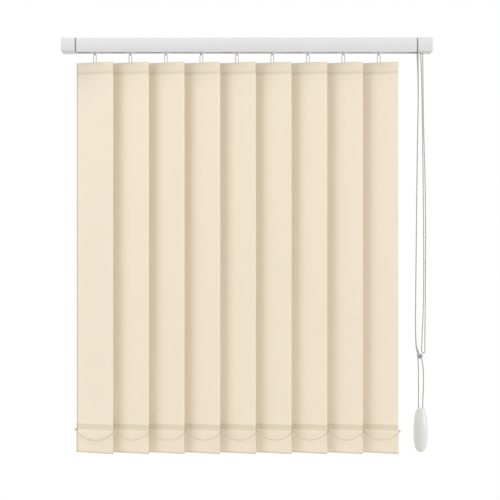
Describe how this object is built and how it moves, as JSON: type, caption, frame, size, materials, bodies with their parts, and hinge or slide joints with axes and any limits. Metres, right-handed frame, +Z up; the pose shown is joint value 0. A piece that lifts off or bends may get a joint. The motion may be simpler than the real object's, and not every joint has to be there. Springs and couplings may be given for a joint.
{
  "type": "vertical blind",
  "caption": "Vertical blind: slim headrail with traversing carriers, tilting fabric vanes joined by bottom bead chains, tilt chain and draw cord with a drop weight.",
  "frame": {"origin": "centre of the headrail's top face", "axes": "+X along the rail towards the controls, -Y faces the room, +Z up"},
  "size_m": [0.835, 0.0416, 0.9361],
  "materials": {
    "rail_paint": "satin white powder coat",
    "cap_plastic": "moulded, soft gloss",
    "rod_metal": "drawn",
    "gear_plastic": "moulded",
    "carrier_plastic": "moulded",
    "hook_plastic": "moulded",
    "plate_plastic": "moulded",
    "vane_cloth": "woven cream cloth",
    "bottom_chain": "moulded beads",
    "chain_plastic": "moulded beads",
    "cord": "braided",
    "weight_plastic": "moulded, soft gloss"
  },
  "bodies": {
    "track": {"headrail": "rail_paint", "left_end_cap": "cap_plastic", "right_end_cap": "cap_plastic", "draw_cord_inner": "cord", "draw_cord_front": "cord", "draw_cord_rear": "cord", "cord_weight": "weight_plastic", "tilt_chain": "chain_plastic", "carrier_9": "carrier_plastic"},
    "runner_1": {"carrier_1": "carrier_plastic"},
    "runner_2": {"carrier_2": "carrier_plastic"},
    "runner_3": {"carrier_3": "carrier_plastic"},
    "runner_4": {"carrier_4": "carrier_plastic"},
    "runner_5": {"carrier_5": "carrier_plastic"},
    "runner_6": {"carrier_6": "carrier_plastic"},
    "runner_7": {"carrier_7": "carrier_plastic"},
    "runner_8": {"carrier_8": "carrier_plastic"},
    "louvre_1": {"stem_1": "hook_plastic", "vane_1": "vane_cloth", "hanger_and_weight_1": "plate_plastic", "vane_1_end_chain": "bottom_chain"},
    "louvre_2": {"stem_2": "hook_plastic", "vane_2": "vane_cloth", "hanger_and_weight_2": "plate_plastic"},
    "louvre_3": {"stem_3": "hook_plastic", "vane_3": "vane_cloth", "hanger_and_weight_3": "plate_plastic"},
    "louvre_4": {"stem_4": "hook_plastic", "vane_4": "vane_cloth", "hanger_and_weight_4": "plate_plastic"},
    "louvre_5": {"stem_5": "hook_plastic", "vane_5": "vane_cloth", "hanger_and_weight_5": "plate_plastic"},
    "louvre_6": {"stem_6": "hook_plastic", "vane_6": "vane_cloth", "hanger_and_weight_6": "plate_plastic"},
    "louvre_7": {"stem_7": "hook_plastic", "vane_7": "vane_cloth", "hanger_and_weight_7": "plate_plastic"},
    "louvre_8": {"stem_8": "hook_plastic", "vane_8": "vane_cloth", "hanger_and_weight_8": "plate_plastic"},
    "louvre_9": {"stem_9": "hook_plastic", "vane_9": "vane_cloth", "hanger_and_weight_9": "plate_plastic"},
    "worm_body_1": {"worm_1": "gear_plastic"},
    "worm_body_2": {"worm_2": "gear_plastic"},
    "worm_body_3": {"worm_3": "gear_plastic"},
    "worm_body_4": {"worm_4": "gear_plastic"},
    "worm_body_5": {"worm_5": "gear_plastic"},
    "worm_body_6": {"worm_6": "gear_plastic"},
    "worm_body_7": {"worm_7": "gear_plastic"},
    "worm_body_8": {"worm_8": "gear_plastic"},
    "worm_body_9": {"worm_9": "gear_plastic"},
    "rod": {"tilt_rod": "rod_metal", "chain_sprocket": "gear_plastic"},
    "pulley_front": {"cord_pulley_front": "gear_plastic"},
    "pulley_rear": {"cord_pulley_rear": "gear_plastic"},
    "front_chain": {"front_bottom_chain": "bottom_chain"},
    "back_chain": {"back_bottom_chain": "bottom_chain"}
  },
  "joints": [
    {"name": "traverse", "type": "slide", "parent": "track", "child": "runner_1", "axis": [1, 0, 0], "range_m": [0, 0.4648], "deforming": ["front_bottom_chain", "back_bottom_chain"]},
    {"name": "traverse_2", "type": "slide", "parent": "track", "child": "runner_2", "axis": [1, 0, 0], "range_m": [0, 0.4067]},
    {"name": "traverse_3", "type": "slide", "parent": "track", "child": "runner_3", "axis": [1, 0, 0], "range_m": [0, 0.3486]},
    {"name": "traverse_4", "type": "slide", "parent": "track", "child": "runner_4", "axis": [1, 0, 0], "range_m": [0, 0.2905]},
    {"name": "traverse_5", "type": "slide", "parent": "track", "child": "runner_5", "axis": [1, 0, 0], "range_m": [0, 0.2324]},
    {"name": "traverse_6", "type": "slide", "parent": "track", "child": "runner_6", "axis": [1, 0, 0], "range_m": [0, 0.1743]},
    {"name": "traverse_7", "type": "slide", "parent": "track", "child": "runner_7", "axis": [1, 0, 0], "range_m": [0, 0.1162]},
    {"name": "traverse_8", "type": "slide", "parent": "track", "child": "runner_8", "axis": [1, 0, 0], "range_m": [0, 0.0581]},
    {"name": "tilt", "type": "hinge", "parent": "track", "child": "louvre_9", "pos_m": [0.2985, 0, -0.05], "axis": [0, 0, -1], "range_deg": [-8, 152]},
    {"name": "tilt_1", "type": "hinge", "parent": "runner_1", "child": "louvre_1", "pos_m": [-0.3423, 0, -0.05], "axis": [0, 0, -1], "range_deg": [-8, 152]},
    {"name": "tilt_2", "type": "hinge", "parent": "runner_2", "child": "louvre_2", "pos_m": [-0.2622, 0, -0.05], "axis": [0, 0, -1], "range_deg": [-8, 152]},
    {"name": "tilt_3", "type": "hinge", "parent": "runner_3", "child": "louvre_3", "pos_m": [-0.1821, 0, -0.05], "axis": [0, 0, -1], "range_deg": [-8, 152]},
    {"name": "tilt_4", "type": "hinge", "parent": "runner_4", "child": "louvre_4", "pos_m": [-0.102, 0, -0.05], "axis": [0, 0, -1], "range_deg": [-8, 152]},
    {"name": "tilt_5", "type": "hinge", "parent": "runner_5", "child": "louvre_5", "pos_m": [-0.0219, 0, -0.05], "axis": [0, 0, -1], "range_deg": [-8, 152]},
    {"name": "tilt_6", "type": "hinge", "parent": "runner_6", "child": "louvre_6", "pos_m": [0.0582, 0, -0.05], "axis": [0, 0, -1], "range_deg": [-8, 152]},
    {"name": "tilt_7", "type": "hinge", "parent": "runner_7", "child": "louvre_7", "pos_m": [0.1383, 0, -0.05], "axis": [0, 0, -1], "range_deg": [-8, 152]},
    {"name": "tilt_8", "type": "hinge", "parent": "runner_8", "child": "louvre_8", "pos_m": [0.2184, 0, -0.05], "axis": [0, 0, -1], "range_deg": [-8, 152]},
    {"name": "worm_turn_1", "type": "hinge", "parent": "runner_1", "child": "worm_body_1", "pos_m": [-0.3423, 0.0093, -0.018], "axis": [1, 0, 0], "range_deg": [-96, 1824]},
    {"name": "worm_turn_2", "type": "hinge", "parent": "runner_2", "child": "worm_body_2", "pos_m": [-0.2622, 0.0093, -0.018], "axis": [1, 0, 0], "range_deg": [-96, 1824]},
    {"name": "worm_turn_3", "type": "hinge", "parent": "runner_3", "child": "worm_body_3", "pos_m": [-0.1821, 0.0093, -0.018], "axis": [1, 0, 0], "range_deg": [-96, 1824]},
    {"name": "worm_turn_4", "type": "hinge", "parent": "runner_4", "child": "worm_body_4", "pos_m": [-0.102, 0.0093, -0.018], "axis": [1, 0, 0], "range_deg": [-96, 1824]},
    {"name": "worm_turn_5", "type": "hinge", "parent": "runner_5", "child": "worm_body_5", "pos_m": [-0.0219, 0.0093, -0.018], "axis": [1, 0, 0], "range_deg": [-96, 1824]},
    {"name": "worm_turn_6", "type": "hinge", "parent": "runner_6", "child": "worm_body_6", "pos_m": [0.0582, 0.0093, -0.018], "axis": [1, 0, 0], "range_deg": [-96, 1824]},
    {"name": "worm_turn_7", "type": "hinge", "parent": "runner_7", "child": "worm_body_7", "pos_m": [0.1383, 0.0093, -0.018], "axis": [1, 0, 0], "range_deg": [-96, 1824]},
    {"name": "worm_turn_8", "type": "hinge", "parent": "runner_8", "child": "worm_body_8", "pos_m": [0.2184, 0.0093, -0.018], "axis": [1, 0, 0], "range_deg": [-96, 1824]},
    {"name": "worm_turn_9", "type": "hinge", "parent": "track", "child": "worm_body_9", "pos_m": [0.2985, 0.0093, -0.018], "axis": [1, 0, 0], "range_deg": [-96, 1824]},
    {"name": "rod_turn", "type": "hinge", "parent": "track", "child": "rod", "pos_m": [0.3966, 0.0093, -0.018], "axis": [1, 0, 0], "range_deg": [-96, 1824]},
    {"name": "pulley_front_turn", "type": "hinge", "parent": "track", "child": "pulley_front", "pos_m": [0.379, -0.011, -0.0135], "axis": [0, 1, 0], "range_deg": [0, 4098.09]},
    {"name": "pulley_rear_turn", "type": "hinge", "parent": "track", "child": "pulley_rear", "pos_m": [0.379, 0.001, -0.0135], "axis": [0, 1, 0], "range_deg": [-4098.09, 0]},
    {"name": "front_chain_turn", "type": "hinge", "parent": "louvre_9", "child": "front_chain", "pos_m": [0.34406, -0.0148, -0.8837], "axis": [0, 0, -1], "range_deg": [-152, 8]},
    {"name": "back_chain_turn", "type": "hinge", "parent": "louvre_9", "child": "back_chain", "pos_m": [0.25294, 0.0148, -0.8837], "axis": [0, 0, -1], "range_deg": [-152, 8]}
  ],
  "couplings": [
    {"joint": "traverse_2", "follows": "traverse", "ratio": 0.875},
    {"joint": "traverse_3", "follows": "traverse", "ratio": 0.75},
    {"joint": "traverse_4", "follows": "traverse", "ratio": 0.625},
    {"joint": "traverse_5", "follows": "traverse", "ratio": 0.5},
    {"joint": "traverse_6", "follows": "traverse", "ratio": 0.375},
    {"joint": "traverse_7", "follows": "traverse", "ratio": 0.25},
    {"joint": "traverse_8", "follows": "traverse", "ratio": 0.125},
    {"joint": "tilt_1", "follows": "tilt", "ratio": 1},
    {"joint": "tilt_2", "follows": "tilt", "ratio": 1},
    {"joint": "tilt_3", "follows": "tilt", "ratio": 1},
    {"joint": "tilt_4", "follows": "tilt", "ratio": 1},
    {"joint": "tilt_5", "follows": "tilt", "ratio": 1},
    {"joint": "tilt_6", "follows": "tilt", "ratio": 1},
    {"joint": "tilt_7", "follows": "tilt", "ratio": 1},
    {"joint": "tilt_8", "follows": "tilt", "ratio": 1},
    {"joint": "worm_turn_1", "follows": "tilt", "ratio": 12},
    {"joint": "worm_turn_2", "follows": "tilt", "ratio": 12},
    {"joint": "worm_turn_3", "follows": "tilt", "ratio": 12},
    {"joint": "worm_turn_4", "follows": "tilt", "ratio": 12},
    {"joint": "worm_turn_5", "follows": "tilt", "ratio": 12},
    {"joint": "worm_turn_6", "follows": "tilt", "ratio": 12},
    {"joint": "worm_turn_7", "follows": "tilt", "ratio": 12},
    {"joint": "worm_turn_8", "follows": "tilt", "ratio": 12},
    {"joint": "worm_turn_9", "follows": "tilt", "ratio": 12},
    {"joint": "rod_turn", "follows": "tilt", "ratio": 12},
    {"joint": "pulley_front_turn", "follows": "traverse", "rad_per_m": 153.85},
    {"joint": "pulley_rear_turn", "follows": "traverse", "rad_per_m": -153.85},
    {"joint": "front_chain_turn", "follows": "tilt", "ratio": -1},
    {"joint": "back_chain_turn", "follows": "tilt", "ratio": -1}
  ]
}
